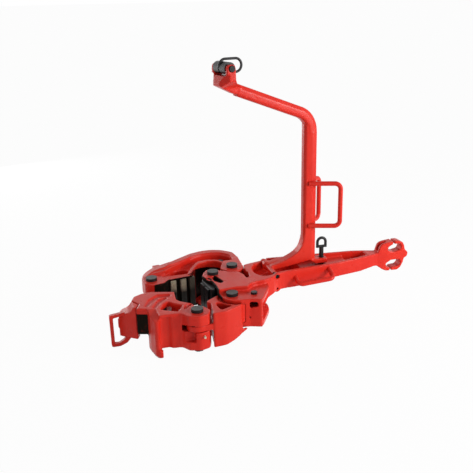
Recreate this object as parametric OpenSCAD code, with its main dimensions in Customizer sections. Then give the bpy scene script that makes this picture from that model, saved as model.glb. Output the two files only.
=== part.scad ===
// Manual pipe tongs: a jawed lever that grips drill pipe, hung from a tall hanger.
// Frame: origin on the pipe axis at half the jaw depth, +X to the pull end,
// +Y to the side away from the hanger handles, +Z up. All lengths in mm.

/* [Jaws] */
// depth of the jaws along the pipe
jaw_depth = 190; // [180:5:200]
// thickness of the top and bottom plates of the lug jaw
jaw_plate_t = 30; // [24:2:36]
// height of the short jaw's knuckle between the lug jaw's ears
knuckle_h = 33; // [28:1:38]
// radius of the jaw ears around their pins
ear_r = 66; // [62:1:68]
// how far the front lug of the lug jaw reaches below the jaws
front_lug_drop = 42; // [30:2:50]
// height of the raised rims of the long jaw above the jaw top
rim_rise = 37; // [32:1:39]

/* [Lever] */
// height of the lever's top face above the origin plane
lever_top = 134; // [134:0.5:138]
// thickness of the lever's two wing plates
wing_t = 26; // [22:1:27]
// thickness of the arm's side walls
wall_t = 22; // [18:1:26]
// thickness of the arm's inner web
web_t = 20; // [14:1:26]
// thickness of the lever's tongues over and under the heel die block
tongue_t = 22; // [18:1:26]
// length of the arm from the origin to the start of the pull end
arm_end_x = 1140; // [1130:2:1150]
// width of the pull end
pull_end_w = 60; // [50:2:66]
// diameter of the rod that the grab handles are bent from
handle_rod_d = 26; // [24:1:30]

/* [Pins] */
// diameter of the main pins' shanks
pin_d = 44; // [38:1:48]
// diameter of the main pins' heads
pin_head_d = 62; // [56:1:64]
// thickness of the main pins' heads
pin_head_t = 17; // [14:1:18]
// thickness of the nuts under the main pins
pin_nut_t = 22; // [18:1:24]
// diameter of the small bolts
bolt_d = 20; // [16:1:22]
// diameter of the hanger pin
hanger_pin_d = 24; // [20:1:26]
// diameter of the yoke pin
yoke_pin_d = 30; // [26:1:32]

/* [Hanger] */
// width of the hanger's post along the lever
post_w = 74; // [68:2:78]
// width of the chamfers on the post's right side
post_chamfer = 26; // [18:1:28]
// height at which the post's top bend starts
post_top = 882; // [870:1:890]
// radius of the bend along the middle of the post
bend_r = 120; // [105:5:130]
// turn of the hanger's top arm towards the handle side, in degrees
arm_turn = 12; // [8:1:16]
// overall width of the yoke
yoke_w = 170; // [164:1:180]
// thickness of the yoke's ears
yoke_ear_t = 22; // [18:1:24]
// diameter of the yoke's rollers
roller_d = 60; // [56:1:64]
// diameter of the lifting link's bar
link_bar_d = 13; // [11:1:15]
// depth of the hanger's post across the lever
post_depth = 62; // [56:2:66]
// reach of the hanger's grab handles
hanger_handle_reach = 176; // [160:2:190]
// height of the hanger's grab handles between their legs
hanger_handle_h = 244; // [220:4:260]
// height of the lower leg of the grab handle that faces the viewer
hanger_handle_z = 355; // [340:5:365]
// diameter of the levelling screw
screw_d = 26; // [22:1:30]

/* [Clearances] */
// clearance around a pin in a bore, on the radius
pin_fit = 0.05; // [0.02:0.01:0.1]
// gap between faces that turn past each other
face_gap = 0.3; // [0.2:0.05:0.5]
// gap around ears that swing inside a pocket
swing_gap = 4; // [3:0.5:6]

/* [Hidden] */
$fn = 48;
jaw_top = jaw_depth / 2;
jaw_bottom = -jaw_depth / 2;
pin_r = pin_d / 2;
bore_r = pin_r + pin_fit;
head_r = pin_head_d / 2;
rod_r = handle_rod_d / 2;
// pin centres in plan
p_lug = [-38, -283];
p_latch = [-186, 196];
p_short = [174, -180];
p_heel = [138, 81];
p_long = [268, 148];
p_rim_bolt = [248, 334];
p_wing_bolt = [288, -200];
// levels of the lug jaw's knuckle slot
knuckle_top = 35;
knuckle_bottom = knuckle_top - knuckle_h;
// levels of the fork at the short jaw pin
fork_top = 84;
fork_bottom = -21;
wing_top = fork_top + wing_t - 1;
wing_bottom = fork_bottom - wing_t - 1;
// levels of the heel die block between the lever's tongues
heel_top = lever_top - tongue_t;
head_bottom = -73;
heel_bottom = head_bottom + tongue_t;
// levels of the long jaw pin's stack
long_ear_top = lever_top;
long_ear_split = 88;
long_low_split = -38;
long_ear_bottom = jaw_bottom;
// levels of the slot for the latch's eye
latch_high = 10;
latch_low = -40;
// radius of the fork's hollow round the short jaw pin
fork_r = 88.3;
// hanger
hanger_pin_x = 472;
hanger_pin_z = 120;
post_x = 707;
lever_axis_y = 95;
screw_x = 792;
pad_top = 106;
// radius of the lever's rings round the hanger pin
pin_ring_r = 19;
foot_bottom = pad_top + 0.6;
foot_top = 115;
// rise of the hanger's top arm, in degrees
arm_rise = 21;
// the arm's bar is narrower than the post and flush with its right side
arm_w = 60;
arm_shift = (post_w - arm_w) / 2;
yoke_pin_u = 511;
yoke_pin_z = post_top + 369;
// lifting link: half its inner height, and the centres of its round ends
link_half = 33;
link_far = -65;
link_near = -7;
link_mid = sqrt(pow(link_half - yoke_pin_d / 2 - link_bar_d / 2 - 0.3, 2) - link_near * link_near);
// the link's near end passes over this floor when the link is raised
yoke_floor = yoke_pin_z - norm([link_near + link_half + link_bar_d / 2, link_mid]) - 1.5;

function unit(v) = v / norm(v);
// one rounded corner: b with radius r between its neighbours a and c
function corner(a, b, c, r) =
  let (u = unit(a - b))
  let (v = unit(c - b))
  let (open = acos(max(-1, min(1, u * v))))
  open > 176 ? [b] :
  let (reach = min(r / tan(open / 2), 0.48 * norm(a - b), 0.48 * norm(c - b)))
  let (rr = reach * tan(open / 2))
  let (mid = b + unit(u + v) * rr / sin(open / 2))
  let (from = b + u * reach - mid)
  let (to = b + v * reach - mid)
  let (start = atan2(from[1], from[0]))
  let (sweep = (atan2(to[1], to[0]) - start + 540) % 360 - 180)
  let (steps = max(2, ceil(abs(sweep) / 15)))
  [for (i = [0 : steps]) mid + rr * [cos(start + sweep * i / steps), sin(start + sweep * i / steps)]];
function flat(p) = [p[0], p[1]];
// an outline of points [x, y, corner radius] with its corners rounded
function rounded(pts) = [
  for (i = [0 : len(pts) - 1])
    let (a = flat(pts[(i + len(pts) - 1) % len(pts)]))
    let (b = flat(pts[i]))
    let (c = flat(pts[(i + 1) % len(pts)]))
    let (r = len(pts[i]) > 2 ? pts[i][2] : 0)
    each (r > 0 ? corner(a, b, c, r) : [b])
];
// the same outline with one radius for all its corners
function soft(pts, r) = rounded([for (p = pts) [p[0], p[1], r]]);

module plate(pts, z0, z1) {
  translate([0, 0, z0]) linear_extrude(z1 - z0) polygon(pts);
}
// outline in x and z, pushed from y0 to y1
module side(pts, y0, y1) {
  translate([0, y1, 0]) rotate([90, 0, 0]) linear_extrude(y1 - y0) polygon(pts);
}
module post_at(p, r, z0, z1) {
  translate([p[0], p[1], z0]) cylinder(r = r, h = z1 - z0, $fn = 64);
}
module across(x, z, r, y0, y1) {
  translate([x, y1, z]) rotate([90, 0, 0]) cylinder(r = r, h = y1 - y0, $fn = 48);
}
// straight round bar from a to b
module bar(a, b, r) {
  d = b - a;
  translate(a)
    rotate([0, acos(d[2] / norm(d)), atan2(d[1], d[0])])
      cylinder(r = r, h = norm(d), $fn = 32);
}
module main_pin(p, top, bottom) {
  post_at(p, pin_r, bottom - pin_nut_t - 4, top + 0.01);
  post_at(p, head_r, top, top + pin_head_t);
}
module pin_nut(p, bottom) {
  difference() {
    translate([p[0], p[1], bottom - pin_nut_t]) cylinder(r = head_r, h = pin_nut_t, $fn = 6);
    post_at(p, bore_r, bottom - pin_nut_t - 1, bottom + 1);
  }
}

// lug jaw: the casting that the latch hooks on to
lug_top_pts = rounded([
  [-335, -44, 4], [-316, 2, 20], [-272, 29, 20], [-222, 37, 16], [-99, -3, 8], [-109, -103, 30],
  [-94, -134, 20], [-41, -179, 30], [-35, -222, 20], [p_lug[0] + 40, p_lug[1] + 56, 16],
  [p_lug[0] + 70, p_lug[1], 40], [p_lug[0] + 50, p_lug[1] - 50, 30], [-38, -350, 30],
  [-95, -330, 20], [-123, -282, 30], [-200, -276, 12], [-240, -278, 14], [-266, -226, 20],
  [-276, -176, 10], [-327, -157, 4], [-303, -102, 2]
]);
lug_low_pts = rounded([
  [-262, -60, 20], [-222, 20, 16], [-110, -3, 8], [-109, -103, 30],
  [-94, -134, 20], [-41, -179, 30], [-35, -222, 20], [p_lug[0] + 40, p_lug[1] + 56, 16],
  [p_lug[0] + 70, p_lug[1], 40], [p_lug[0] + 50, p_lug[1] - 50, 30], [-38, -350, 30],
  [-95, -330, 20], [-123, -282, 30], [-200, -276, 12], [-232, -262, 10], [-266, -170, 8]
]);
// round lug that the jaw stands on, and the hollow beside it
front_lug_pts = rounded([
  [-276, -172, 6], [-270, -226, 24], [-254, -284, 22], [-232, -284, 10], [-226, -256, 4], [-236, -172, 4]
]);
front_hollow_pts = soft([[-234, -300], [-234, -270], [-216, -262], [-184, -262], [-166, -280], [-176, -300]], 8);
module lug_jaw() {
  color("firebrick") difference() {
    union() {
      plate(lug_top_pts, jaw_top - jaw_plate_t, jaw_top);
      plate(lug_low_pts, jaw_bottom, jaw_bottom + jaw_plate_t);
      // wall that faces the pipe
      plate([[-145, 0], [-99, -3], [-109, -103], [-94, -134], [-60, -165], [-100, -190], [-140, -130]],
        jaw_bottom, jaw_top);
      // near wall and the two ears
      plate(rounded([[-230, -272, 12], [-123, -282, 30], [-95, -330, 20], [-38, -350, 30],
        [p_lug[0] + 50, p_lug[1] - 50, 30], [p_lug[0] + 70, p_lug[1], 40],
        [p_lug[0] + 40, p_lug[1] + 56, 16], [-35, -222, 20], [-41, -179, 30], [-90, -160, 10],
        [-130, -240, 30], [-205, -240, 10], [-225, -220, 10]]), jaw_bottom, jaw_top);
      // tooth that the latch bears on
      plate([[-335, -44], [-316, 2], [-290, 8], [-262, -60], [-270, -110], [-303, -102]], 12, jaw_top);
      // wall behind the latch's tip
      plate([[-327, -157], [-303, -102], [-262, -60], [-225, 20], [-200, 10], [-225, -172], [-272, -176]],
        jaw_bottom + 46, jaw_top - 1);
      // front lug with its round foot
      plate(front_lug_pts, jaw_bottom - front_lug_drop + 12, jaw_top - 1);
      plate(rounded([[-266, -200, 10], [-258, -250, 20], [-246, -282, 10], [-232, -282, 8], [-226, -256, 4],
        [-240, -196, 6]]), jaw_bottom - front_lug_drop, jaw_top - 10);
      plate(soft([[-244, -290], [-222, -294], [-218, -270], [-240, -262]], 6), jaw_bottom - front_lug_drop + 4,
        jaw_bottom + 6);
    }
    // the front lug's top falls towards its near end
    translate([-300, 0, 0]) rotate([90, 0, 90]) linear_extrude(68) polygon([
      [-182, jaw_top], [-320, jaw_top - 44], [-320, jaw_top + 1], [-182, jaw_top + 1]]);
    // hollow beside the front lug, under the top's edge
    plate(front_hollow_pts, jaw_bottom - 1, jaw_top - 14);
    // through hole in the top, with its sloping far wall
    plate(soft([[-212, -202], [-185, -145], [-153, -116], [-134, -147], [-92, -188], [-130, -252]], 8),
      jaw_top - 62, jaw_top + 1);
    // slanting recesses in the top
    plate(soft([[-281, -141], [-250, -67], [-193, -14], [-126, -28], [-132, -58], [-190, -54], [-249, -120],
      [-269, -152]], 6), jaw_top - 10, jaw_top + 1);
    plate(soft([[-246, -168], [-201, -84], [-157, -52], [-152, -78], [-195, -122], [-232, -184]], 6),
      jaw_top - 10, jaw_top + 1);
    // crescent beside the pin
    plate(soft([[-95, -232], [-80, -191], [-51, -180], [-42, -193], [-71, -218], [-85, -242]], 5),
      jaw_top - 12, jaw_top + 1);
    // relief in the near wall
    side(soft([[-110, 40], [-60, 40], [-60, -50], [-110, -50]], 8), -360, -306);
    // slot for the short jaw's knuckle
    post_at(p_lug, 82, knuckle_bottom - face_gap, knuckle_top + face_gap);
    plate([[p_lug[0], p_lug[1] - 90], [120, p_lug[1] - 90], [120, -160], [p_lug[0], -160]],
      knuckle_bottom - face_gap, knuckle_top + face_gap);
    post_at(p_lug, bore_r, jaw_bottom - 1, jaw_top + 1);
  }
}
module lug_jaw_pin() {
  color("dimgray") main_pin(p_lug, jaw_top, jaw_bottom);
}
module lug_jaw_pin_nut() {
  color("dimgray") pin_nut(p_lug, jaw_bottom);
}
module lug_jaw_grease_fitting() {
  color("silver") difference() {
    translate([p_lug[0] + 20, p_lug[1] - 50, -20]) rotate([90, 0, 0]) cylinder(r = 6, h = 26);
    plate(lug_low_pts, -60, 20);
  }
}

// short jaw: carries the lug jaw and turns on the lever
short_pts = rounded([
  [p_lug[0] + 88, -215, 6], [30, -180, 20], [110, -120, 16], [118, -150, 10],
  [108, -190, 10], [126, -240, 14], [165, -264, 10], [208, -261, 3], [196, -279, 20],
  [150, -305, 60], [99, -331, 80], [30, -338, 8]
]);
module short_jaw() {
  color("firebrick") difference() {
    union() {
      plate(short_pts, jaw_bottom, jaw_top);
      plate([[180, -270], [196, -279], [222, -273], [236, -262], [208, -250]], jaw_bottom, wing_bottom - face_gap);
      // tail that turns in the lever's fork
      post_at(p_short, fork_r - face_gap, fork_bottom + face_gap, fork_top - face_gap);
      // knuckle between the lug jaw's ears
      post_at(p_lug, ear_r - 8, knuckle_bottom, knuckle_top);
      plate([[p_lug[0], p_lug[1] - 52], [60, -331], [60, -200], [p_lug[0] + 20, p_lug[1] + 54]],
        knuckle_bottom, knuckle_top);
    }
    // room for the lug jaw's ears
    difference() {
      post_at(p_lug, ear_r + 14, jaw_bottom - 1, jaw_top + 1);
      post_at(p_lug, 200, knuckle_bottom, knuckle_top);
    }
    // room for the lever's wings
    for (z = [[fork_top - face_gap, jaw_top + 1], [jaw_bottom - 1, fork_bottom + face_gap]]) {
      post_at(p_short, 76, z[0], z[1]);
      intersection() {
        post_at(p_short, fork_r, z[0], z[1]);
        plate([[160, -300], [300, -300], [300, -100], [160, -100]], z[0], z[1]);
      }
    }
    // the underside rises to the right
    side([[70, jaw_bottom - 1], [112, -93], [145, -88], [180, -78], [206, -65], [234, -49],
      [400, -40], [400, jaw_bottom - 1]], -400, 0);
    // pocket in the top
    plate(soft([[77, -212], [106, -225], [122, -248], [146, -262], [134, -280], [82, -303], [74, -250]], 6),
      jaw_top - 50, jaw_top + 1);
    post_at(p_lug, bore_r, jaw_bottom - 1, jaw_top + 1);
    post_at(p_short, bore_r, jaw_bottom - 1, jaw_top + 1);
  }
}

// lever
wing_pts = rounded([
  [112, -60, 6], [117, -187, 60], [140, -240, 60], [200, -255, 30], [247, -259, 20], [304, -283, 10],
  [323, -258, 8], [376, -167, 40], [395, -130, 30], [403, -90, 20], [404, -60, 6]
]);
head_pts = rounded([
  [74, 67, 6], [84, 18, 30], [108, -20, 20], [114, -80, 20], [112, -150, 6], [156, -144, 10],
  [190, -140, 10], [229, -142, 10], [271, -149, 6], [300, -116, 8], [336, -102, 10], [384, -97, 30],
  [440, -66, 30], [470, -36, 20], [497, -25, 10], [518, -22, 4], [518, 214, 4], [460, 186, 20],
  [383, 171, 20], [345, 158, 6], [290, 110, 4], [199, 109, 10], [154, 157, 8], [116, 146, 10], [90, 108, 10]
]);
core_pts = rounded([
  [200, 40, 10], [190, -20, 20], [150, -60, 10], [150, -105, 10], [300, -112, 8], [336, -101, 10], [384, -96, 30],
  [446, -69, 30], [474, -42, 20], [497, -31, 10], [520, -27, 4], [520, 218, 4], [460, 190, 20],
  [383, 171, 20], [345, 158, 6], [230, 60, 10]
]);
// rounded end of the channel, and the pocket beside the long jaw's ear
pit_pts = rounded([
  [368, 96, 30], [361, 45, 30], [364, 3, 30], [387, -33, 30], [418, -46, 20], [440, -38, 20], [474, -20, 10],
  [500, -7, 10], [530, -5, 2], [530, 193, 2], [494, 193, 20], [455, 168, 20], [425, 153, 20], [396, 140, 20]
]);
head_pocket_pts = soft([[298, -30], [300, 18], [287, 54], [262, 100], [300, 125], [326, 95], [331, 39], [322, -6], [309, -32]], 8);
near_edge = [[494, -29], [618, -15], [741, -10], [869, 3], [1008, 30], [1080, 48], [arm_end_x, 65]];
far_edge = [[494, 219], [618, 205], [741, 197], [861, 183], [1010, 167], [1080, 148], [arm_end_x, 65 + pull_end_w]];
function back_to_front(a) = [for (i = [len(a) - 1 : -1 : 0]) a[i]];
function moved(a, dy) = [for (p = a) [p[0], p[1] + dy]];
arm_pts = concat(near_edge, back_to_front(far_edge));
inner_pts = concat(moved(near_edge, wall_t), back_to_front(moved(far_edge, -wall_t)));
// floor of the channel under the hanger's foot, and top of the web beyond it
pit_floor = 52;
web_top = 98;
end_pts = rounded([
  [1100, lever_top - 4, 4], [1145, lever_top, 6], [1150, 152, 12], [1158, 174, 14], [1172, 186, 16], [1194, 191, 20],
  [1240, 196, 40], [1280, 196, 30], [1304, 184, 24], [1315, 160, 20], [1319, 139, 10], [1341, 116, 10],
  [1336, 93, 8], [1316, 82, 8], [1311, 57, 20], [1295, 27, 20], [1272, 12, 20], [1227, 15, 20],
  [1200, 15, 20], [1176, 27, 20], [1139, 54, 10], [1100, 60, 6]
]);
module pull_end() {
  y0 = 65;
  y1 = 65 + pull_end_w;
  difference() {
    side(end_pts, y0, y1);
    // upper and lower slots for the pull line
    side(soft([[1206, 140], [1212, 164], [1240, 178], [1285, 178], [1298, 158], [1290, 136], [1250, 128]], 10),
      y0 - 1, y1 + 1);
    side(soft([[1200, 40], [1198, 62], [1230, 80], [1285, 80], [1297, 55], [1282, 36], [1230, 32]], 10),
      y0 - 1, y1 + 1);
    // slits through the rims
    translate([1241, y0 - 1, 175]) cube([9, pull_end_w + 2, 60]);
    translate([1226, y0 - 1, 0]) cube([9, pull_end_w + 2, 45]);
    // groove round the left of the upper lobe
    difference() {
      translate([1110, y0 + 20, 140]) cube([96, pull_end_w - 40, 90]);
      translate([1228, 0, 122]) rotate([-90, 0, 0]) cylinder(r = 66, h = 200);
    }
  }
}
module lever() {
  color("firebrick") difference() {
    union() {
      // tongue over the heel die block, and the head's top
      plate(head_pts, heel_top, lever_top);
      // head and neck; the underside rises to the arm
      intersection() {
        plate(core_pts, head_bottom, lever_top);
        side([[100, head_bottom], [345, head_bottom], [405, 20], [453, 35], [521, 35], [521, lever_top],
          [100, lever_top]], -150, 260);
      }
      // tongue under the heel die block
      plate(rounded([[74, 67, 8], [84, 18, 30], [108, -20, 20], [114, -80, 10], [150, -90, 10], [300, -60, 10],
        [300, 60, 30], [199, 109, 10], [170, 150, 20], [120, 166, 20], [62, 168, 14], [56, 108, 20]]),
        head_bottom, heel_bottom);
      // eye for the long jaw pin
      post_at(p_long, ear_r - 2, long_low_split + face_gap, long_ear_split - face_gap);
      plate([[p_long[0] - 50, p_long[1] - 40], [p_long[0] - 20, 20], [420, 20], [420, 150],
        [340, 148], [p_long[0] + 48, p_long[1] + 40]], long_low_split + face_gap, long_ear_split - face_gap);
      // wing plates, and the wall that closes the fork between them
      plate(wing_pts, fork_top, wing_top);
      plate(wing_pts, wing_bottom, fork_bottom);
      intersection() {
        plate(wing_pts, fork_bottom - 1, fork_top + 1);
        plate([[210, -300], [300, -300], [312, -262], [340, -175], [364, -104], [364, -60], [210, -60]],
          fork_bottom - 1, fork_top + 1);
      }
      // arm: a web between two side walls
      difference() {
        intersection() {
          plate(arm_pts, 0, lever_top);
          side([[400, 35], [626, 32], [748, 40], [872, 51], [1019, 50], [1084, 56], [1200, 64],
            [1200, lever_top], [400, lever_top]], -60, 260);
        }
        intersection() {
          plate(inner_pts, 0, lever_top + 1);
          side([[400, pit_floor], [640, pit_floor], [662, web_top], [944, web_top + 12], [956, 84], [1062, 86],
            [1076, lever_top + 1], [400, lever_top + 1]], -60, 260);
        }
        intersection() {
          plate(inner_pts, 0, lever_top + 1);
          side([[676, web_top - web_t], [930, web_top + 11 - web_t], [930, -1], [676, -1]], -60, 260);
        }
      }
      // flat pad under the levelling foot
      translate([screw_x, lever_axis_y, pad_top - 20]) cylinder(r = 36, h = 20);
      // rings round the hanger pin's ends
      across(hanger_pin_x, hanger_pin_z, pin_ring_r, -50, -8);
      across(hanger_pin_x, hanger_pin_z, pin_ring_r, 176, 202);
      // round lug with the small hole
      across(475, 44, 22, -34, -4);
      pull_end();
    }
    // channel for the hanger's foot
    plate(pit_pts, pit_floor, lever_top + 30);
    // pocket beside the long jaw's ear
    plate(head_pocket_pts, 52, lever_top + 1);
    // fork for the short jaw
    plate([[60, -400], [p_short[0], -400], [p_short[0], -96], [60, -96]], fork_bottom, fork_top);
    plate([[100, -400], [208, -400], [p_short[0] + 34, p_short[1] - 81], [p_short[0], p_short[1]], [100, -200]],
      fork_bottom, fork_top);
    post_at(p_short, fork_r, fork_bottom, fork_top);
    // window over the wing bolt's nut, and the nut's pocket behind it
    side(soft([[246, fork_top - 20], [246, fork_top + 7], [288, fork_top + 7], [288, fork_top - 20]], 10), -300, -225);
    plate(soft([[246, -262], [288, -262], [318, -222], [310, -176], [262, -176], [250, -222]], 6), fork_top - 26, fork_top);
    // small hole in the wall under it
    across(246, 4, 6, -300, -250);
    // pocket for the heel die block
    post_at(p_heel, 58, heel_bottom, heel_top);
    plate([[40, -100], [120, -100], [170, 40], [120, 200], [40, 200]], heel_bottom, heel_top);
    // room for the long jaw's ears
    post_at(p_long, ear_r + swing_gap, long_ear_split - face_gap, lever_top + 1);
    post_at(p_long, ear_r + swing_gap, head_bottom - 1, long_low_split + face_gap);
    // bores
    post_at(p_short, bore_r, head_bottom - 1, lever_top + 1);
    post_at(p_heel, bore_r, head_bottom - 1, lever_top + 1);
    post_at(p_long, bore_r, head_bottom - 1, lever_top + 1);
    post_at(p_wing_bolt, bolt_d / 2 + pin_fit, fork_top - 1, wing_top + 1);
    across(hanger_pin_x, hanger_pin_z, hanger_pin_d / 2 + pin_fit, -60, 260);
    across(475, 44, 7, -60, wall_t - 40);
    translate([screw_x, lever_axis_y, pad_top]) cylinder(r = 36, h = 40);
    // slot in the head's top, and the notch in the tip
    plate(soft([[121, 40], [139, 50], [164, -40], [147, -63], [120, -17]], 8), lever_top - 70, lever_top + 1);
    plate([[70, 30], [100, 30], [112, 8], [112, -4], [90, -6]], lever_top - 6, lever_top + 1);
  }
}
module short_jaw_pin() {
  color("dimgray") main_pin(p_short, wing_top, wing_bottom);
}
module heel_pin() {
  color("dimgray") main_pin(p_heel, lever_top, head_bottom);
}
module long_jaw_pin() {
  color("dimgray") main_pin(p_long, long_ear_top, long_ear_bottom);
}
module lever_pin_nuts() {
  color("dimgray") {
    pin_nut(p_short, wing_bottom);
    pin_nut(p_heel, head_bottom);
    pin_nut(p_long, long_ear_bottom);
  }
}
module wing_bolt() {
  color("dimgray") {
    post_at(p_wing_bolt, bolt_d / 2, fork_top - 26, wing_top + 0.01);
    translate([p_wing_bolt[0], p_wing_bolt[1], wing_top]) cylinder(r = bolt_d * 0.9, h = 12, $fn = 6);
    translate([p_wing_bolt[0], p_wing_bolt[1], fork_top - 26]) cylinder(r = bolt_d * 0.9, h = 26, $fn = 6);
  }
}
// grab handle on the arm: its ends are trimmed to the arm's wall
module lever_handle() {
  color("firebrick") difference() {
    translate([592, 10, 98]) rotate([22, 0, 0]) rotate([0, -4.2, 0])
      multmatrix([[0, 0, 1, 0], [-1, 0, 0, 0], [0, -1, 0, 0], [0, 0, 0, 1]])
        rod_loop(88, 208, 28);
    plate(concat([[494, 60]], near_edge, [[arm_end_x, 90]]), 0, lever_top + 40);
  }
}

// long jaw: turns on the lever, carries the latch
outer_pts = [
  [p_latch[0] - 48, 240, 20], [-223, 285, 20], [-197, 319, 20], [-157, 342, 20], [-109, 347, 30], [-51, 346, 30],
  [20, 396, 60], [91, 443, 60], [158, 465, 60], [222, 466, 60], [279, 445, 60], [338, 387, 60],
  [346, 296, 60], [p_long[0] + ear_r, p_long[1] + 20, 30]
];
inner_side = [
  [p_long[0] - ear_r + 4, p_long[1] + 30, 20], [245, 254, 30], [211, 309, 40], [165, 316, 40], [118, 299, 40],
  [80, 262, 40], [46, 205, 30], [33, 190, 4]
];
// the long jaw's dies stand in a row that starts here and is turned by die_turn
die_start = [-81, 168];
die_turn = 8.3;
die_at = [0, 60, 112];
die_w = 30;
die_t = 24;
die_side = [[44.3, 208.5, 2], [-85.7, 189.5, 2], [-118, 215, 8], [-132, 244, 4]];
module die_frame() {
  translate([die_start[0], die_start[1], 0]) rotate([0, 0, die_turn]) children();
}
latch_ear_pts = rounded([
  [p_latch[0] - 48, p_latch[1] + 49, 30], [-220, 284, 20], [-194, 315, 20], [-150, 326, 20], [-105, 260, 20],
  [-85, 177, 12], [-123, 129, 20], [-180, 119, 30], [-230, 152, 30]
]);
long_body_pts = rounded(concat(outer_pts, inner_side, die_side, [[-150, 230, 10]]));
// the outer rim's top slopes down to the ears at its left end
rim_slope = [[-260, jaw_top - 1], [-226, jaw_top - 1], [-60, jaw_top + rim_rise], [400, jaw_top + rim_rise], [400, jaw_top - 1]];
rim_cut_pts = rounded([
  [-141, 231, 10], [-96, 262, 30], [4, 326, 60], [76, 379, 60], [144, 408, 60], [206, 413, 60], [262, 395, 60],
  [306, 340, 50], [304, 256, 30], [264, 256, 30], [226, 322, 50], [165, 340, 60], [100, 322, 50],
  [55, 276, 40], [24, 226, 20], [-60, 226, 10]
]);
module long_jaw() {
  color("firebrick") difference() {
    union() {
      plate(long_body_pts, jaw_bottom, jaw_top);
      // arch beside the lever, coming down to the ledge over the dies
      intersection() {
        plate(long_body_pts, jaw_top - 1, jaw_top + 25);
        side([[20, jaw_top - 1], [46, jaw_top + 8], [84, jaw_top + 20], [110, jaw_top + 25], [400, jaw_top + 25],
          [400, jaw_top - 1]], 150, 480);
      }
      // raised outer rim
      intersection() {
        difference() {
          plate(rounded(outer_pts), jaw_top - 1, jaw_top + rim_rise);
          plate(rounded([[-240, 60, 4], [-212, 240, 20], [-160, 290, 30], [-96, 288, 30], [4, 332, 60], [76, 382, 60],
            [144, 411, 60], [206, 417, 60], [266, 400, 60], [310, 350, 50], [306, 100, 4]]),
            jaw_top - 2, jaw_top + rim_rise + 1);
        }
        side(rim_slope, 0, 480);
      }
      // rim along the hollow's far side, down to the ledge
      intersection() {
        plate(rounded([[-196, 268, 8], [-160, 262, 10], [-96, 262, 30], [4, 306, 60], [76, 360, 40], [76, 390, 10],
          [4, 346, 60], [-100, 300, 30], [-160, 300, 20], [-196, 290, 8]]), jaw_top - 1, jaw_top + rim_rise);
        side([[-200, jaw_top - 1], [-196, jaw_top + 2], [-60, jaw_top + 26], [76, jaw_top + 30], [76, jaw_top - 1]], 200, 400);
      }
      // stub on the far side
      plate(soft([[-150, 330], [-150, 392], [-104, 394], [-104, 330]], 8), jaw_top - 30, jaw_top + 10);
      // ears at the long jaw pin
      post_at(p_long, ear_r, long_ear_split, long_ear_top);
      plate([[p_long[0] - ear_r + 4, p_long[1] + 22], [245, 254], [346, 296], [p_long[0] + ear_r, p_long[1]]],
        long_ear_split, long_ear_top);
      post_at(p_long, ear_r, long_ear_bottom, long_low_split);
      // low flange along the foot of the arch
      plate([[44, 205], [60, 190], [84, 196], [112, 252], [150, 286], [160, 324], [106, 306], [64, 270], [44, 226]],
        jaw_bottom, jaw_bottom + 14);
      // ears at the latch pin
      plate(latch_ear_pts, jaw_bottom, jaw_top);
      // plates over and under the dies, and their seat beyond the arch's end
      die_frame() {
        plate([[-6, 2], [128, 2], [128, 40], [-6, 40]], jaw_top - 12, jaw_top - 1);
        plate([[-6, 2], [144, 2], [144, 40], [-6, 40]], jaw_bottom + 1, jaw_bottom + 12);
        plate([[90, die_t - 1], [144, die_t - 1], [158, 74], [110, 60]], jaw_bottom + 1, jaw_top - 11);
      }
    }
    // room for the lever's eye between the ears
    post_at(p_long, ear_r + swing_gap + 2, long_low_split, long_ear_split);
    // room for the lever's neck over the whole swing
    difference() {
      plate([p_long, p_long + [-60, -300], p_long + [400, -300], p_long + [400, 160]], jaw_bottom - 1, lever_top + 1);
      post_at(p_long, ear_r, jaw_bottom - 2, lever_top + 2);
    }
    // channel between the rims
    plate(rim_cut_pts, jaw_top - 10, lever_top + 10);
    // hollow right of the rib, and the shallow floor left of it
    plate(rounded([[-64, 284, 10], [-20, 304, 20], [26, 312, 20], [50, 262, 20], [24, 226, 10], [-64, 228, 6]]),
      jaw_bottom + 20, lever_top);
    // slot for the latch's eye
    post_at(p_latch, 70, latch_low, latch_high);
    plate([[-320, 440], [-150, 440], [p_latch[0] + 40, p_latch[1] + 60], [p_latch[0] + 62, p_latch[1]], [-80, 100], [-300, 60]],
      latch_low, latch_high);
    // seat of the dies
    die_frame() plate([[-face_gap, -40], [-face_gap, die_t], [146, die_t], [146, -40]],
      jaw_bottom + 12 - face_gap, jaw_top - 12 + face_gap);
    post_at(p_latch, bore_r, jaw_bottom - 1, jaw_top + 1);
    post_at(p_long, bore_r, jaw_bottom - 1, lever_top + 1);
    post_at(p_rim_bolt, bolt_d / 2 + pin_fit, jaw_bottom - 1, jaw_top + 1);
  }
}
module long_jaw_dies() {
  color("gainsboro") die_frame() for (x = die_at)
    translate([x, 0, jaw_bottom + 12]) die_strip(die_w, die_t, jaw_depth - 24);
}
// toothed die: a strip with upright grooves in its front
module die_strip(w, t, h) {
  difference() {
    cube([w, t, h]);
    for (k = [1 : 4]) translate([k * w / 5, -2.8, -1]) rotate([0, 0, 45]) cube([4, 4, h + 2]);
  }
}
module latch_pin() {
  color("dimgray") main_pin(p_latch, jaw_top, jaw_bottom);
}
module latch_pin_nut() {
  color("dimgray") pin_nut(p_latch, jaw_bottom);
}
module long_jaw_bolt() {
  color("dimgray") {
    post_at(p_rim_bolt, bolt_d / 2, jaw_bottom - 14, jaw_top - 10);
    translate([p_rim_bolt[0], p_rim_bolt[1], jaw_top - 10]) cylinder(r = bolt_d * 0.9, h = 22, $fn = 6);
    translate([p_rim_bolt[0], p_rim_bolt[1], jaw_bottom - 14]) cylinder(r = bolt_d * 0.9, h = 14, $fn = 6);
  }
}

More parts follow.
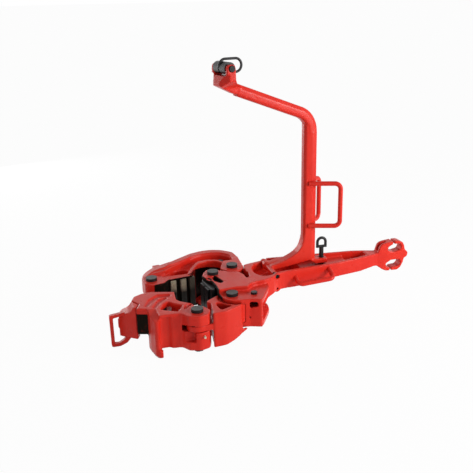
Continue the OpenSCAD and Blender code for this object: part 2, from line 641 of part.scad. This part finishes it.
// latch: hooks the lug jaw's tooth
latch_end_pts = rounded([[-410, -70, 8], [-325, -144, 6], [-307, -103, 3], [-340, -44, 6], [-385, -10, 20]]);
latch_end_bottom = jaw_bottom + 10;
module latch() {
  color("firebrick") difference() {
    union() {
      post_at(p_latch, 56, latch_low + face_gap, latch_high - face_gap);
      plate(rounded([
        [p_latch[0] - 20, p_latch[1] + 52, 10], [-260, 190, 40], [-345, 80, 60], [-416, -65, 10],
        [-325, -144, 8], [-312, -100, 6], [-345, -40, 6], [-325, 30, 60], [-250, 70, 60],
        [p_latch[0] + 20, p_latch[1] - 52, 20]]),
        latch_low + face_gap, latch_high - face_gap);
      // tall end that fills the notch
      plate(latch_end_pts, latch_end_bottom, jaw_top - 2);
    }
    // the top of the outer part sinks to the handle
    side(rounded([[-336, jaw_top + 1, 2], [-346, 74, 20], [-360, 56, 30], [-384, 45, 30], [-440, 40, 10],
      [-440, jaw_top + 10, 2], [-336, jaw_top + 10, 2]]), -200, 60);
    post_at(p_latch, bore_r, latch_low - 1, latch_high + 1);
  }
}
module latch_handle() {
  color("firebrick") difference() {
    side(rounded([[-372, 62, 10], [-400, 54, 20], [-459, 47, 8], [-457, -131, 10], [-412, -131, 40], [-375, -116, 30],
      [-350, -86, 10], [-350, -80, 4]]), -97, -77);
    side(rounded([[-372, 42, 4], [-441, 31, 6], [-440, -112, 6], [-418, -114, 20], [-390, -98, 20], [-378, -80, 4]]),
      -98, -76);
    plate(latch_end_pts, latch_end_bottom, 200);
  }
}

// ends of the heel die block's front face
heel_face = [[70, 60], [86, -80]];
// heel die block under the lever's tip
module heel_die_block() {
  color("firebrick") difference() {
    union() {
      post_at(p_heel, 50, heel_bottom + face_gap, heel_top - face_gap);
      plate(rounded([[92, 96, 10], concat(heel_face[0], [10]), concat(heel_face[1], [8]), [110, -84, 8], [140, 0, 20], [170, 60, 20]]),
        heel_bottom + face_gap, heel_top - face_gap);
    }
    post_at(p_heel, bore_r, heel_bottom - 1, heel_top + 1);
  }
}
module heel_dies() {
  color("gainsboro") translate([heel_face[0][0], heel_face[0][1], heel_bottom + 8])
    rotate([0, 0, atan2(heel_face[1][1] - heel_face[0][1], heel_face[1][0] - heel_face[0][0])])
      for (i = [0 : 1]) translate([14 + i * 60, -14.1, 0]) die_strip(50, 14, heel_top - heel_bottom - 16);
}

// hanger
module arm_frame() {
  translate([post_x, lever_axis_y, 0]) rotate([0, 0, 180 + arm_turn]) children();
}
// end of the bend, and the height of the arm's middle line at a distance from the post
bend_end_u = bend_r * (1 - sin(arm_rise)) - arm_shift;
function arm_mid(u) = post_top + bend_r * cos(arm_rise) + tan(arm_rise) * (u - bend_end_u);
// the yoke's base and ears, seen along the yoke pin
yoke_pts = rounded([
  [430, arm_mid(430) - 30, 2], [430, arm_mid(430) + 30, 2], [470, yoke_pin_z - 74, 10], [486, yoke_pin_z - 60, 4],
  [489, yoke_pin_z + 4, 16], [498, yoke_pin_z + 20, 14], [526, yoke_pin_z + 20, 14], [537, yoke_pin_z + 8, 14],
  [537, yoke_pin_z - 28, 20], [556, yoke_pin_z - 68, 12], [558, yoke_pin_z - 84, 12], [530, yoke_pin_z - 100, 30]
]);
module hanger() {
  w = post_w / 2;
  y0 = lever_axis_y - post_depth / 2;
  y1 = lever_axis_y + post_depth / 2;
  color("firebrick") difference() {
    union() {
      // foot and post
      side(rounded([
        [472, 142, 14], [498, 143, 20], [558, 162, 60], [606, 183, 60], [632, 200, 40], [656, 226, 60],
        [post_x - w, 270, 80], [post_x - w + 11, 340], [post_x + 10, 340], [post_x + 10, 147], [819, 147, 6],
        [819, 119, 6], [744, 119, 6], [712, 147, 16], [649, 137, 60], [588, 127, 60], [510, 118, 20], [482, 112, 8]]),
        y0, y1);
      translate([post_x, lever_axis_y, 0]) post_outline();
      // eye round the hanger pin, behind the foot, and the tube that reaches to the near wall
      across(hanger_pin_x, hanger_pin_z, 25, y1 - 4, y1 + 36);
      side([[hanger_pin_x - 10, hanger_pin_z + 20], [540, 156], [560, 160], [560, 128], [510, 116],
        [hanger_pin_x, hanger_pin_z - 20]], y1 - 20, y1 + 20);
      across(hanger_pin_x, hanger_pin_z, hanger_pin_d / 2 + 3, -8 + face_gap, y1);
      // the post's inner side runs on into the bend
      translate([post_x, lever_axis_y, post_top - 1]) linear_extrude(46) intersection() {
        post_section(post_w);
        translate([-post_w, -post_depth]) square([post_w - 8, 2 * post_depth]);
      }
      // bend and top arm
      arm_frame() {
        translate([bend_r - arm_shift, 0, post_top]) rotate([90, 0, 0]) mirror([1, 0, 0])
          rotate_extrude(angle = 90 - arm_rise, $fn = 96) translate([bend_r, 0]) post_section(arm_w);
        translate([bend_end_u, 0, arm_mid(bend_end_u)]) rotate([0, 90 - arm_rise, 0])
          translate([0, 0, -8]) linear_extrude(408) mirror([1, 0]) post_section(arm_w);
        // yoke: flared base and two ears
        difference() {
          side(yoke_pts, -yoke_w / 2, yoke_w / 2);
          difference() {
            translate([400, -yoke_w, yoke_pin_z - 200]) cube([200, yoke_w * 2, 300]);
            translate([401, 0, 0]) rotate([90, 0, 90]) linear_extrude(200) polygon([
              [-30, yoke_pin_z - 130], [30, yoke_pin_z - 130], [30, yoke_pin_z - 96], [yoke_w / 2, yoke_pin_z - 62],
              [yoke_w / 2, yoke_pin_z + 50], [-yoke_w / 2, yoke_pin_z + 50], [-yoke_w / 2, yoke_pin_z - 62],
              [-30, yoke_pin_z - 96]]);
          }
          // the base's front narrows to the nose
          difference() {
            translate([400, -yoke_w, yoke_pin_z - 200]) cube([200, yoke_w * 2, 172]);
            plate([[399, -yoke_w / 2], [524, -yoke_w / 2], [560, -28], [560, 28], [524, yoke_w / 2], [399, yoke_w / 2]],
              yoke_pin_z - 201, yoke_pin_z);
          }
          // slot between the yoke's ears
          translate([400, -yoke_w / 2 + yoke_ear_t, yoke_floor]) cube([200, yoke_w - 2 * yoke_ear_t, 200]);
          across(yoke_pin_u, yoke_pin_z, yoke_pin_d / 2 + pin_fit, -200, 200);
        }
      }
    }
    // groove along the near side of the arm and the bend
    arm_frame() translate([0, post_depth / 2 - 1.5, 0]) side(rounded([
      [52, post_top + 70, 4], [96, arm_mid(96) - 14, 60], [213, arm_mid(213) - 14, 200],
      [332, arm_mid(332) - 14, 100], [380, arm_mid(380) + 14, 4], [380, arm_mid(380) + 9, 4], [336, arm_mid(336) - 18, 100],
      [213, arm_mid(213) - 18, 200], [98, arm_mid(98) - 18, 60], [55, post_top + 68, 4]]), 0, 10);
    across(hanger_pin_x, hanger_pin_z, hanger_pin_d / 2 + pin_fit, -60, 260);
    translate([screw_x, lever_axis_y, 100]) cylinder(r = screw_d / 2 + pin_fit, h = 80);
  }
}
module hanger_pin() {
  color("dimgray") across(hanger_pin_x, hanger_pin_z, hanger_pin_d / 2, -39, 200);
}
// a bent rod: two legs along +X, one above the other, joined by an upright
module rod_loop(reach, height, bend) {
  bar([0, 0, 0], [reach - bend, 0, 0], rod_r);
  bar([0, 0, height], [reach - bend, 0, height], rod_r);
  bar([reach, 0, bend], [reach, 0, height - bend], rod_r);
  translate([reach - bend, 0, bend]) rotate([90, 0, 0]) rotate([0, 0, -90])
    rotate_extrude(angle = 90, $fn = 64) translate([bend, 0]) circle(r = rod_r, $fn = 32);
  translate([reach - bend, 0, height - bend]) rotate([90, 0, 0])
    rotate_extrude(angle = 90, $fn = 64) translate([bend, 0]) circle(r = rod_r, $fn = 32);
}
// the post's section: a bar with chamfered corners, wider chamfers on its right
module post_section(width) {
  w = width / 2;
  d = post_depth / 2;
  c = post_chamfer * width / post_w;
  polygon([[-w, -d + 12], [-w + 11, -d], [w - c, -d], [w, -d + 10], [w, d - 10], [w - c, d], [-w + 11, d], [-w, d - 12]]);
}
module post_outline() {
  translate([0, 0, 150]) linear_extrude(post_top - 150) post_section(post_w);
}
// grab handle on the post: legs leave the face at an angle and are trimmed to it
module post_handle(side_y, turn, z) {
  translate([post_x, lever_axis_y, 0]) difference() {
    translate([-11, side_y * (post_depth / 2 - 2), z]) rotate([0, 0, turn])
      rod_loop(hanger_handle_reach, hanger_handle_h, 32);
    post_outline();
  }
}
module hanger_handle_near() {
  color("firebrick") post_handle(-1, -20, hanger_handle_z);
}
module hanger_handle_far() {
  color("firebrick") post_handle(1, 40, hanger_handle_z - 15);
}
module levelling_screw() {
  r = screw_d / 2;
  eye_r = 8;
  color("dimgray") {
    translate([screw_x, lever_axis_y, foot_top - 4]) cylinder(r = r, h = 212 - foot_top);
    translate([screw_x, lever_axis_y, 238]) rotate([90, 0, 0])
      rotate_extrude(angle = 180, $fn = 64) translate([25, 0]) circle(r = eye_r, $fn = 32);
    for (k = [-25, 25])
      translate([screw_x + k, lever_axis_y, 206]) cylinder(r = eye_r, h = 32, $fn = 32);
    translate([screw_x - 25, lever_axis_y, 212]) rotate([0, 90, 0]) cylinder(r = eye_r, h = 50, $fn = 32);
  }
}
module levelling_foot() {
  color("dimgray") difference() {
    translate([screw_x, lever_axis_y, foot_bottom]) cylinder(r1 = 16, r2 = 24, h = foot_top - foot_bottom);
    translate([screw_x, lever_axis_y, foot_top - 4 - face_gap]) cylinder(r = screw_d / 2 + face_gap, h = 20);
  }
}
module yoke_pin() {
  color("gray") arm_frame() across(yoke_pin_u, yoke_pin_z, yoke_pin_d / 2, -yoke_w / 2 - 6, yoke_w / 2 + 6);
}
module roller(v0, v1) {
  arm_frame() difference() {
    across(yoke_pin_u, yoke_pin_z, roller_d / 2, v0, v1);
    across(yoke_pin_u, yoke_pin_z, yoke_pin_d / 2 + pin_fit, v0 - 1, v1 + 1);
  }
}
module yoke_roller_near() {
  color("black") roller(link_bar_d / 2 + 1, yoke_w / 2 - yoke_ear_t - face_gap);
}
module yoke_roller_far() {
  color("black") roller(-yoke_w / 2 + yoke_ear_t + face_gap, -link_bar_d / 2 - 1);
}
module lifting_link() {
  r = link_bar_d / 2;
  color("black") arm_frame() translate([yoke_pin_u, 0, yoke_pin_z]) {
    translate([link_far, 0, link_mid]) rotate([90, 0, 0]) rotate([0, 0, 90])
      rotate_extrude(angle = 180, $fn = 64) translate([link_half, 0]) circle(r = r, $fn = 24);
    translate([link_near, 0, link_mid]) rotate([90, 0, 0]) rotate([0, 0, -90])
      rotate_extrude(angle = 180, $fn = 64) translate([link_half, 0]) circle(r = r, $fn = 24);
    bar([link_far, 0, link_mid + link_half], [link_near, 0, link_mid + link_half], r);
    bar([link_far, 0, link_mid - link_half], [link_near, 0, link_mid - link_half], r);
  }
}
lever();
lever_handle();
short_jaw_pin();
heel_pin();
long_jaw_pin();
lever_pin_nuts();
wing_bolt();
short_jaw();
lug_jaw();
lug_jaw_pin();
lug_jaw_pin_nut();
lug_jaw_grease_fitting();
long_jaw();
long_jaw_dies();
long_jaw_bolt();
latch_pin();
latch_pin_nut();
latch();
latch_handle();
heel_die_block();
heel_dies();
hanger();
hanger_handle_near();
hanger_handle_far();
hanger_pin();
levelling_foot();
levelling_screw();
yoke_pin();
yoke_roller_near();
yoke_roller_far();
lifting_link();
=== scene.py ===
"""Looks, light and camera for the manual pipe tongs."""
import math

import bpy
from mathutils import Matrix, Vector


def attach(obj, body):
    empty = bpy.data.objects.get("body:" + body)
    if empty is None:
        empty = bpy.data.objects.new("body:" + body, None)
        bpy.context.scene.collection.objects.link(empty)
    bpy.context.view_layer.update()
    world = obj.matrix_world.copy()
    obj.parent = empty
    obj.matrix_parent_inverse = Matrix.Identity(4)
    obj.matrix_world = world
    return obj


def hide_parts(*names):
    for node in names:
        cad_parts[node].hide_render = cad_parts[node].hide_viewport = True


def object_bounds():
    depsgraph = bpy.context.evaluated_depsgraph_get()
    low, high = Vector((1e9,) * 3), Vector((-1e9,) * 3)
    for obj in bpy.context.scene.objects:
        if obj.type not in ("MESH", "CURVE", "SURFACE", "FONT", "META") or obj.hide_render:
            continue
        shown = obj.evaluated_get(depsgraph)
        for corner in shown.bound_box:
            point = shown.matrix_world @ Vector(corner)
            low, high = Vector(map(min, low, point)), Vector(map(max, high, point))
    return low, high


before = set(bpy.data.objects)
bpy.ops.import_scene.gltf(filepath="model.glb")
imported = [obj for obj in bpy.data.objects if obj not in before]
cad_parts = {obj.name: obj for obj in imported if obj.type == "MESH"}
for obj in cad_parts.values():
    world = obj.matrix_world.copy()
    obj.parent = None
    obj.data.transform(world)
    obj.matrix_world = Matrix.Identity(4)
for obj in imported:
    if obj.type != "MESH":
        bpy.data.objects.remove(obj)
cad_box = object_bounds()

# the camera stands in front of the tongs, to the left, and looks down at them
CAMERA_PLACE = (-0.7115, -3.3540, 1.5659)
CAMERA_TURN = 16.1
CAMERA_DIP = 19.0
CAMERA_ROLL = -1.23
# focal length and image width, both in the photograph's pixels
FOCAL_PIXELS = 688
IMAGE_PIXELS = 473
SENSOR = 36.0
CAMERA_REACH = 1000
FLOOR_DROP = 0.004
FLOOR_SIZE = 1900
# share of the floor that shows as plain white, and the light that the sky gives the object
FLOOR_GLOW = 0.96
SKY_LIGHT = 0.33


# node helpers
def material(name):
    mat = bpy.data.materials.new(name)
    mat.use_nodes = True
    tree = mat.node_tree
    return mat, tree, tree.nodes["Principled BSDF"]


def node(tree, kind, inputs=None, **settings):
    made = tree.nodes.new(kind)
    for key, value in settings.items():
        setattr(made, key, value)
    for key, value in (inputs or {}).items():
        if isinstance(value, bpy.types.NodeSocket):
            tree.links.new(value, made.inputs[key])
        else:
            made.inputs[key].default_value = value
    return made


def noise(tree, scale, detail=3.0, roughness=0.55, stretch=None):
    place = node(tree, "ShaderNodeTexCoord").outputs["Object"]
    if stretch:
        place = node(tree, "ShaderNodeMapping", {"Vector": place, "Scale": stretch}).outputs["Vector"]
    return node(tree, "ShaderNodeTexNoise",
                {"Vector": place, "Scale": scale, "Detail": detail, "Roughness": roughness}).outputs["Fac"]


def spread(tree, value, low, high, to_low=0.0, to_high=1.0):
    """The value's range low..high stretched over to_low..to_high."""
    return node(tree, "ShaderNodeMapRange",
                {"Value": value, "From Min": low, "From Max": high, "To Min": to_low, "To Max": to_high}
                ).outputs["Result"]


def mixed(tree, factor, first, second):
    made = node(tree, "ShaderNodeMix", data_type="RGBA")
    for socket, value in zip((made.inputs[0], made.inputs[6], made.inputs[7]), (factor, first, second)):
        if isinstance(value, bpy.types.NodeSocket):
            tree.links.new(value, socket)
        else:
            socket.default_value = value
    return made.outputs[2]


def times(tree, first, second):
    made = node(tree, "ShaderNodeMath", operation="MULTIPLY", use_clamp=True)
    for socket, value in zip(made.inputs, (first, second)):
        if isinstance(value, bpy.types.NodeSocket):
            tree.links.new(value, socket)
        else:
            socket.default_value = value
    return made.outputs[0]


def skin(tree, shader, look, detail=4.0, roughness=0.55):
    """Rounded edges under fine bumps: look gives the radius, then the bumps' scale, strength and depth."""
    radius, scale, strength, depth = look
    height = noise(tree, scale, detail, roughness)
    edge = node(tree, "ShaderNodeBevel", {"Radius": radius}, samples=4).outputs["Normal"]
    bump = node(tree, "ShaderNodeBump",
                {"Height": height, "Strength": strength, "Distance": depth, "Normal": edge})
    tree.links.new(bump.outputs["Normal"], shader.inputs["Normal"])


def facing_up(tree, low=0.75, high=0.97):
    """1 on faces that look up, 0 on the rest."""
    normal = node(tree, "ShaderNodeTexCoord").outputs["Normal"]
    height = node(tree, "ShaderNodeSeparateXYZ", {0: normal}).outputs["Z"]
    return spread(tree, height, low, high)


def coordinate(tree, axis):
    place = node(tree, "ShaderNodeTexCoord").outputs["Object"]
    return node(tree, "ShaderNodeSeparateXYZ", {0: place}).outputs[axis]


# the walls black with grease and painted shade end this far from the pipe's axis: beside the dies, and low
# down on the arch
DIES_REACH = 0.25
ARCH_REACH = 0.40
ARCH_FROM_X = (0.05, 0.07)
ARCH_BELOW_Z = (0.105, 0.075)
GREASE_AND_SHADE_FADE = 0.015
# from a clean wall to one black with grease and painted shade: the cosine between its normal and the way
# outward from the pipe
PIPE_FACING = (-0.10, -0.35)


def facing_pipe(tree):
    """1 on the walls that look at the pipe, near it, where grease and painted shade blacken the paint, 0 on
    the rest.
    """
    coords = node(tree, "ShaderNodeTexCoord")
    flat_place = node(tree, "ShaderNodeVectorMath", {0: coords.outputs["Object"], 1: (1, 1, 0)},
                      operation="MULTIPLY").outputs["Vector"]
    outward = node(tree, "ShaderNodeVectorMath", {0: flat_place}, operation="NORMALIZE").outputs["Vector"]
    along = node(tree, "ShaderNodeVectorMath", {0: outward, 1: coords.outputs["Normal"]},
                 operation="DOT_PRODUCT").outputs["Value"]
    reach = node(tree, "ShaderNodeVectorMath", {0: flat_place}, operation="LENGTH").outputs["Value"]
    arch = times(tree, spread(tree, coordinate(tree, "X"), *ARCH_FROM_X),
                 spread(tree, coordinate(tree, "Z"), *ARCH_BELOW_Z))
    limit = spread(tree, arch, 0.0, 1.0, DIES_REACH, ARCH_REACH)
    inside = node(tree, "ShaderNodeMath", {0: limit, 1: reach}, operation="SUBTRACT").outputs[0]
    return times(tree, spread(tree, along, *PIPE_FACING), spread(tree, inside, 0.0, GREASE_AND_SHADE_FADE))


def shade_in_hollows(tree, reach):
    """Painted shade: 1 deep in corners and pockets, 0 in the open."""
    shade = node(tree, "ShaderNodeAmbientOcclusion", {"Distance": reach}, samples=8).outputs["AO"]
    return spread(tree, shade, 0.75, 0.15)


# materials
RED = (0.78, 0.024, 0.013, 1)
RED_WORN = (0.86, 0.036, 0.018, 1)
# deep red of the rubbed spots, and of the painted shade in corners
RED_DEEP = (0.20, 0.004, 0.004, 1)
# dust and a painted sheen on the faces that look up
DUST_AND_SHEEN = (0.50, 0.17, 0.14, 1)
# black of grease and painted shade near the pipe, and of painted shade behind the latch's tip
GREASE_AND_SHADE = (0.010, 0.007, 0.005, 1)
PIN_SIDE = (0.010, 0.010, 0.010, 1)
PIN_TOP = (0.085, 0.085, 0.08, 1)
PIN_TOP_GRIMY = (0.05, 0.048, 0.045, 1)
IRON = (0.004, 0.004, 0.005, 1)
IRON_DULL = (0.013, 0.012, 0.012, 1)
DIE_BARE = (0.80, 0.77, 0.60, 1)
DIE_STAINED = (0.52, 0.48, 0.33, 1)
# painted shadow on the lower part of the dies and the fitting
DIE_SHADOW = (0.014, 0.013, 0.008, 1)
# radius of the rounded edges in metres, and scale, strength and depth in metres of the bumps
CAST_SKIN = (0.006, 130.0, 0.35, 0.0012)
ROD_SKIN = (0.0012, 200.0, 0.35, 0.0012)
PIN_SKIN = (0.0015, 240.0, 0.25, 0.0004)
IRON_SKIN = (0.001, 160.0, 0.3, 0.0005)
DIE_SKIN = (0.0006, 300.0, 0.25, 0.0003)
# roughness at its lowest and highest
PAINT_ROUGHNESS = (0.24, 0.40)
PIN_ROUGHNESS = (0.38, 0.6)
IRON_ROUGHNESS = (0.28, 0.5)
DIE_ROUGHNESS = (0.36, 0.55)
GREASE_AND_SHADE_ROUGHNESS = 0.6
# strongest share of the dust and painted sheen on faces that look up, of the rubbed spots and of the
# painted shade in the paint's corners
DUST_AND_SHEEN_SHARE = 0.16
RUBBED_SHARE = 0.05
CORNER_SHADE_SHARE = 0.75
CORNER_SHADE_REACH = 0.06
# heights below which the dies and the fitting are painted near black as shadow and above which they are
# bright, and where the arch's painted shade begins along X
DIES_BRIGHT = (0.004, 0.040)
FITTING_BRIGHT = (-0.055, -0.040)
DIES_SHADED = (0.010, 0.024)
# share of light left on a die in that shade
SHADED_SHARE = 0.25


def red_paint(name, look, grease_and_shade=None):
    """Glossy red paint over a casting, a little dusty with a painted sheen where it faces up, with painted
    shade in its corners; the last argument gives the black patches of grease and painted shade.
    """
    mat, tree, shader = material(name)
    patches = spread(tree, noise(tree, 7.0, 4.0), 0.35, 0.7)
    base = mixed(tree, patches, RED, RED_WORN)
    dust_and_sheen_specks = spread(tree, noise(tree, 22.0, 6.0, 0.7), 0.3, 0.75, 0.0, DUST_AND_SHEEN_SHARE)
    # dust and painted sheen: pinkish specks on the faces that look up
    base = mixed(tree, times(tree, facing_up(tree), dust_and_sheen_specks), base, DUST_AND_SHEEN)
    rubbed = spread(tree, noise(tree, 60.0, 8.0, 0.75), 0.66, 0.74)
    base = mixed(tree, times(tree, rubbed, RUBBED_SHARE), base, RED_DEEP)
    # painted shade: deep red in corners and pockets
    base = mixed(tree, times(tree, shade_in_hollows(tree, CORNER_SHADE_REACH), CORNER_SHADE_SHARE), base, RED_DEEP)
    rough = spread(tree, noise(tree, 18.0, 5.0, 0.6), 0.3, 0.7, *PAINT_ROUGHNESS)
    # black patches: grease with painted shade on the jaws, painted shade behind the latch
    if grease_and_shade:
        dark_variation = spread(tree, noise(tree, 40.0, 4.0, 0.6), 0.2, 0.45)
        dark = times(tree, grease_and_shade(tree), spread(tree, dark_variation, 0.0, 1.0, 0.9, 1.0))
        base = mixed(tree, dark, base, GREASE_AND_SHADE)
        rough = spread(tree, dark, 0.0, 1.0, rough, GREASE_AND_SHADE_ROUGHNESS)
        tree.links.new(dark, shader.inputs["Metallic"])
    tree.links.new(base, shader.inputs["Base Color"])
    tree.links.new(rough, shader.inputs["Roughness"])
    shader.inputs["Specular IOR Level"].default_value = 0.22
    skin(tree, shader, look, roughness=0.6)
    return mat


def pin_steel(name):
    """Blackened steel, lighter grey on the faces that look up."""
    mat, tree, shader = material(name)
    up = facing_up(tree, 0.9, 0.98)
    grime = spread(tree, noise(tree, 70.0, 6.0, 0.7), 0.3, 0.7)
    top = mixed(tree, grime, PIN_TOP, PIN_TOP_GRIMY)
    tree.links.new(mixed(tree, up, PIN_SIDE, top), shader.inputs["Base Color"])
    shader.inputs["Metallic"].default_value = 0.3
    tree.links.new(spread(tree, grime, 0.0, 1.0, *PIN_ROUGHNESS), shader.inputs["Roughness"])
    shader.inputs["Specular IOR Level"].default_value = 0.35
    skin(tree, shader, PIN_SKIN)
    return mat


def black_steel(name):
    """Black iron with a thin oily skin."""
    mat, tree, shader = material(name)
    patch = spread(tree, noise(tree, 45.0, 6.0, 0.7), 0.3, 0.75)
    tree.links.new(mixed(tree, patch, IRON, IRON_DULL), shader.inputs["Base Color"])
    shader.inputs["Metallic"].default_value = 0.1
    shader.inputs["Specular IOR Level"].default_value = 0.4
    tree.links.new(spread(tree, patch, 0.0, 1.0, *IRON_ROUGHNESS), shader.inputs["Roughness"])
    skin(tree, shader, IRON_SKIN)
    return mat


def die_steel(name, bright, shaded=None):
    """Bare, slightly yellowed steel: painted shadow, near black, below the heights bright, painted shade
    darker right of shaded.
    """
    mat, tree, shader = material(name)
    patch = spread(tree, noise(tree, 90.0, 5.0, 0.7), 0.3, 0.75)
    bare = mixed(tree, patch, DIE_BARE, DIE_STAINED)
    waves = spread(tree, noise(tree, 28.0, 3.0), 0.0, 1.0, -0.015, 0.015)
    height = node(tree, "ShaderNodeMath", {0: coordinate(tree, "Z"), 1: waves}, operation="ADD").outputs[0]
    # painted shadow: near black below the heights in bright
    lit = spread(tree, height, *bright)
    if shaded:
        lit = times(tree, lit, spread(tree, coordinate(tree, "X"), *shaded, 1.0, SHADED_SHARE))
    tree.links.new(mixed(tree, lit, DIE_SHADOW, bare), shader.inputs["Base Color"])
    shader.inputs["Metallic"].default_value = 0.15
    tree.links.new(spread(tree, patch, 0.0, 1.0, *DIE_ROUGHNESS), shader.inputs["Roughness"])
    skin(tree, shader, DIE_SKIN, detail=3.0)
    return mat


# box in the lug jaw behind the latch's tip, painted black as shade, and the width of its soft border
LATCH_SEAT = (("X", -0.345, -0.262), ("Y", -0.190, -0.140), ("Z", -0.060, 0.068))
SEAT_FADE = 0.004


def latch_seat(tree):
    """The wall behind the latch's tip, which gets painted shade."""
    inside = None
    for axis, low, high in LATCH_SEAT:
        value = coordinate(tree, axis)
        above = spread(tree, value, low, low + SEAT_FADE)
        below = spread(tree, value, high, high - SEAT_FADE)
        between = times(tree, above, below)
        inside = between if inside is None else times(tree, inside, between)
    return inside


cast_red = red_paint("cast_red_paint", CAST_SKIN)
# painted black on the walls near the pipe: grease and painted shade
jaw_red = red_paint("jaw_red_paint", CAST_SKIN, facing_pipe)
# painted shade: black on the wall behind the latch's tip
lug_red = red_paint("lug_jaw_red_paint", CAST_SKIN, latch_seat)
rod_red = red_paint("rod_red_paint", ROD_SKIN)
pins = pin_steel("pin_steel")
black = black_steel("black_steel")
dies = die_steel("die_steel", DIES_BRIGHT, DIES_SHADED)
fitting = die_steel("fitting_steel", FITTING_BRIGHT)

FINISHES = {
    cast_red: ("latch", "hanger"),
    jaw_red: ("short_jaw", "long_jaw", "lever"),
    lug_red: ("lug_jaw",),
    rod_red: ("lever_handle", "latch_handle", "hanger_handle_near", "hanger_handle_far"),
    pins: ("short_jaw_pin", "heel_pin", "long_jaw_pin", "lever_pin_nuts", "lug_jaw_pin",
           "lug_jaw_pin_nut", "latch_pin", "latch_pin_nut", "hanger_pin", "yoke_pin"),
    black: ("wing_bolt", "long_jaw_bolt", "levelling_foot", "levelling_screw", "yoke_roller_near",
            "yoke_roller_far", "lifting_link", "heel_die_block", "heel_dies"),
    dies: ("long_jaw_dies",),
    fitting: ("lug_jaw_grease_fitting",),
}
for finish, names in FINISHES.items():
    for name in names:
        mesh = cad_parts[name].data
        mesh.materials.clear()
        mesh.materials.append(finish)


# castings: the CAD solids with their edges rounded as a foundry's mould and paint leave them
CASTINGS = (
    ("lever", "lever_body", "red_paint"),
    ("short_jaw", "short_jaw_body", "red_paint"),
    ("lug_jaw", "lug_jaw_body", "red_paint"),
    ("long_jaw", "long_jaw_body", "red_paint"),
    ("latch", "latch_body", "red_paint"),
    ("hanger", "hanger_body", "red_paint"),
    ("heel_die_block", "heel_body", "black_steel"),
)
# size of the voxels in metres, rounds of smoothing, and share of the faces that is kept
CAST_VOXEL = 0.003
CAST_SMOOTHING = 8
CAST_FACES_KEPT = 0.3


def casting(name, body):
    """A rounded copy of a node's solid, which rides on the body in the node's place."""
    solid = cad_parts[name]
    piece = solid.copy()
    piece.data = solid.data.copy()
    piece.name = name + "_cast"
    bpy.context.collection.objects.link(piece)
    remesh = piece.modifiers.new("skin", "REMESH")
    remesh.mode = "VOXEL"
    remesh.voxel_size = CAST_VOXEL
    smooth = piece.modifiers.new("soften", "SMOOTH")
    smooth.factor = 0.5
    smooth.iterations = CAST_SMOOTHING
    thin = piece.modifiers.new("thin", "DECIMATE")
    thin.ratio = CAST_FACES_KEPT
    graph = bpy.context.evaluated_depsgraph_get()
    mesh = bpy.data.meshes.new_from_object(piece.evaluated_get(graph))
    piece.modifiers.clear()
    piece.data = mesh
    for face in mesh.polygons:
        face.use_smooth = True
    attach(piece, body)
    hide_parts(name)


# stage
def seen_rays(tree):
    """1 for rays that show the background itself: camera, glossy and transmission rays."""
    path = node(tree, "ShaderNodeLightPath")
    seen = node(tree, "ShaderNodeMath",
                {0: path.outputs["Is Camera Ray"], 1: path.outputs["Is Transmission Ray"]},
                operation="MAXIMUM").outputs[0]
    return node(tree, "ShaderNodeMath", {0: seen, 1: path.outputs["Is Glossy Ray"]},
                operation="MAXIMUM").outputs[0]


def stage():
    low = cad_box[0][2] - FLOOR_DROP
    bpy.ops.mesh.primitive_plane_add(size=FLOOR_SIZE, location=(0, 0, low))
    floor = bpy.context.object
    floor.name = "floor"
    mat, tree, shader = material("floor_white")
    shader.inputs["Base Color"].default_value = (0.92, 0.92, 0.92, 1)
    shader.inputs["Roughness"].default_value = 0.9
    glow = node(tree, "ShaderNodeEmission", {"Color": (1, 1, 1, 1), "Strength": 1.0})
    share = spread(tree, seen_rays(tree), 0.0, 1.0, 0.0, FLOOR_GLOW)
    mix = node(tree, "ShaderNodeMixShader", {0: share})
    tree.links.new(shader.outputs[0], mix.inputs[1])
    tree.links.new(glow.outputs[0], mix.inputs[2])
    tree.links.new(mix.outputs[0], tree.nodes["Material Output"].inputs["Surface"])
    floor.data.materials.append(mat)

    world = bpy.data.worlds.new("studio")
    bpy.context.scene.world = world
    world.use_nodes = True
    tree = world.node_tree
    back = tree.nodes["Background"]
    back.inputs["Color"].default_value = (1, 1, 1, 1)
    tree.links.new(spread(tree, seen_rays(tree), 0.0, 1.0, SKY_LIGHT, 1.0), back.inputs["Strength"])


# name, place, target, width in metres, watts
LAMPS = (
    ("key", (3.5, -2.4, 1.3), (0.3, 0, 0.3), 1.4, 96),
    ("front", (-0.4, -4.6, 1.5), (0.3, 0, 0.5), 2.4, 12),
    ("back", (-1.2, 4.4, 1.0), (0.3, 0, 0.5), 2.4, 45),
)


def lamp(name, place, target, size, power):
    data = bpy.data.lights.new(name, "AREA")
    data.shape = "DISK"
    data.size = size
    data.energy = power
    made = bpy.data.objects.new(name, data)
    bpy.context.collection.objects.link(made)
    made.location = place
    made.rotation_euler = (Vector(target) - Vector(place)).to_track_quat("-Z", "Y").to_euler()


def camera():
    data = bpy.data.cameras.new("camera")
    data.sensor_width = SENSOR
    data.lens = FOCAL_PIXELS / IMAGE_PIXELS * SENSOR
    data.clip_end = CAMERA_REACH
    made = bpy.data.objects.new("camera", data)
    bpy.context.collection.objects.link(made)
    turn, dip, roll = (math.radians(v) for v in (CAMERA_TURN, CAMERA_DIP, CAMERA_ROLL))
    ahead = Vector((math.sin(turn) * math.cos(dip), math.cos(turn) * math.cos(dip), -math.sin(dip)))
    level = Vector((math.cos(turn), -math.sin(turn), 0))
    above = level.cross(ahead)
    right = level * math.cos(roll) + above * math.sin(roll)
    up = above * math.cos(roll) - level * math.sin(roll)
    made.matrix_world = Matrix.Translation(CAMERA_PLACE) @ Matrix((right, up, -ahead)).transposed().to_4x4()
    bpy.context.scene.camera = made


for name, body, slot in CASTINGS:
    casting(name, body)
stage()
for settings in LAMPS:
    lamp(*settings)
camera()
bpy.context.scene.view_settings.view_transform = "Standard"
